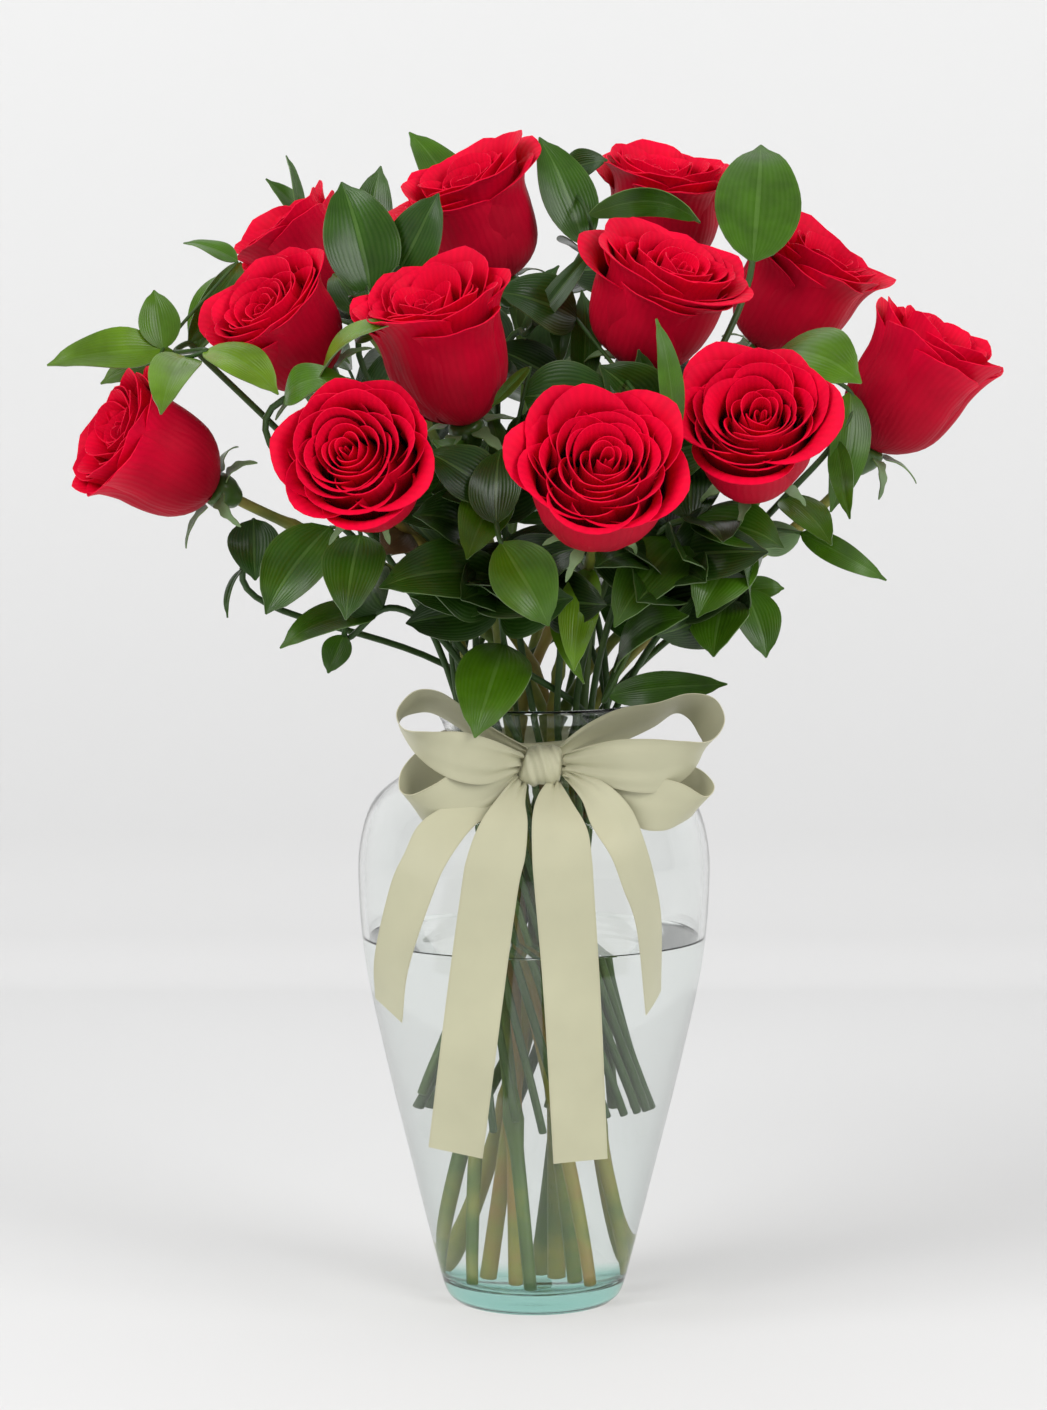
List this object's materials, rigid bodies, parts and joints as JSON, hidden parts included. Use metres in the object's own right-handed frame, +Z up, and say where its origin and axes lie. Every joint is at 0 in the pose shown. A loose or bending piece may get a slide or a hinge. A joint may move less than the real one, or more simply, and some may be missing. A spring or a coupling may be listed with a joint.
{
  "type": "roses in a vase",
  "caption": "Bouquet of long-stemmed red roses and leafy ruscus greens standing in a clear urn-shaped glass vase of water, with a satin ribbon bow at its neck.",
  "frame": {"origin": "centre of the vase's flat foot, on the surface that it stands on", "axes": "+Z up along the vase's axis, -Y towards the front, where the bow is, +X to the right seen from the front"},
  "size_m": [0.4128, 0.2836, 0.5306],
  "materials": {
    "vase_glass": "polished",
    "water": "polished",
    "rose_stem": "satin",
    "rose_petal": "satin",
    "ruscus_leaf": "satin",
    "ribbon_satin": "satin"
  },
  "bodies": {
    "root": {"vase": "vase_glass", "water": "water", "rose_stem_01": "rose_stem", "rose_stem_02": "rose_stem", "rose_stem_03": "rose_stem", "rose_stem_04": "rose_stem", "rose_stem_05": "rose_stem", "rose_stem_06": "rose_stem", "rose_stem_07": "rose_stem", "rose_stem_08": "rose_stem", "rose_stem_09": "rose_stem", "rose_stem_10": "rose_stem", "rose_stem_11": "rose_stem", "rose_stem_12": "rose_stem", "rose_bloom_01": "rose_petal", "rose_bloom_02": "rose_petal", "rose_bloom_03": "rose_petal", "rose_bloom_04": "rose_petal", "rose_bloom_05": "rose_petal", "rose_bloom_06": "rose_petal", "rose_bloom_07": "rose_petal", "rose_bloom_08": "rose_petal", "rose_bloom_09": "rose_petal", "rose_bloom_10": "rose_petal", "rose_bloom_11": "rose_petal", "rose_bloom_12": "rose_petal", "ruscus_sprig_01": "ruscus_leaf", "ruscus_sprig_02": "ruscus_leaf", "ruscus_sprig_03": "ruscus_leaf", "ruscus_sprig_04": "ruscus_leaf", "ruscus_sprig_05": "ruscus_leaf", "ruscus_sprig_06": "ruscus_leaf", "ruscus_sprig_07": "ruscus_leaf", "ruscus_sprig_08": "ruscus_leaf", "ruscus_sprig_09": "ruscus_leaf", "ruscus_sprig_10": "ruscus_leaf", "ruscus_sprig_11": "ruscus_leaf", "ruscus_sprig_12": "ruscus_leaf", "ruscus_sprig_13": "ruscus_leaf", "ruscus_sprig_14": "ruscus_leaf", "ruscus_sprig_15": "ruscus_leaf", "ruscus_sprig_16": "ruscus_leaf", "ruscus_sprig_17": "ruscus_leaf", "ruscus_sprig_18": "ruscus_leaf", "ruscus_sprig_19": "ruscus_leaf", "ruscus_sprig_20": "ruscus_leaf", "ruscus_sprig_21": "ruscus_leaf", "ruscus_sprig_22": "ruscus_leaf", "ruscus_sprig_23": "ruscus_leaf", "ribbon_neck_band": "ribbon_satin", "ribbon_knot": "ribbon_satin", "ribbon_loop_upper_left": "ribbon_satin", "ribbon_loop_lower_left": "ribbon_satin", "ribbon_loop_upper_right": "ribbon_satin", "ribbon_loop_lower_right": "ribbon_satin", "ribbon_tail_left_short": "ribbon_satin", "ribbon_tail_left_long": "ribbon_satin", "ribbon_tail_right_long": "ribbon_satin", "ribbon_tail_right_short": "ribbon_satin"}
  },
  "joints": []
}
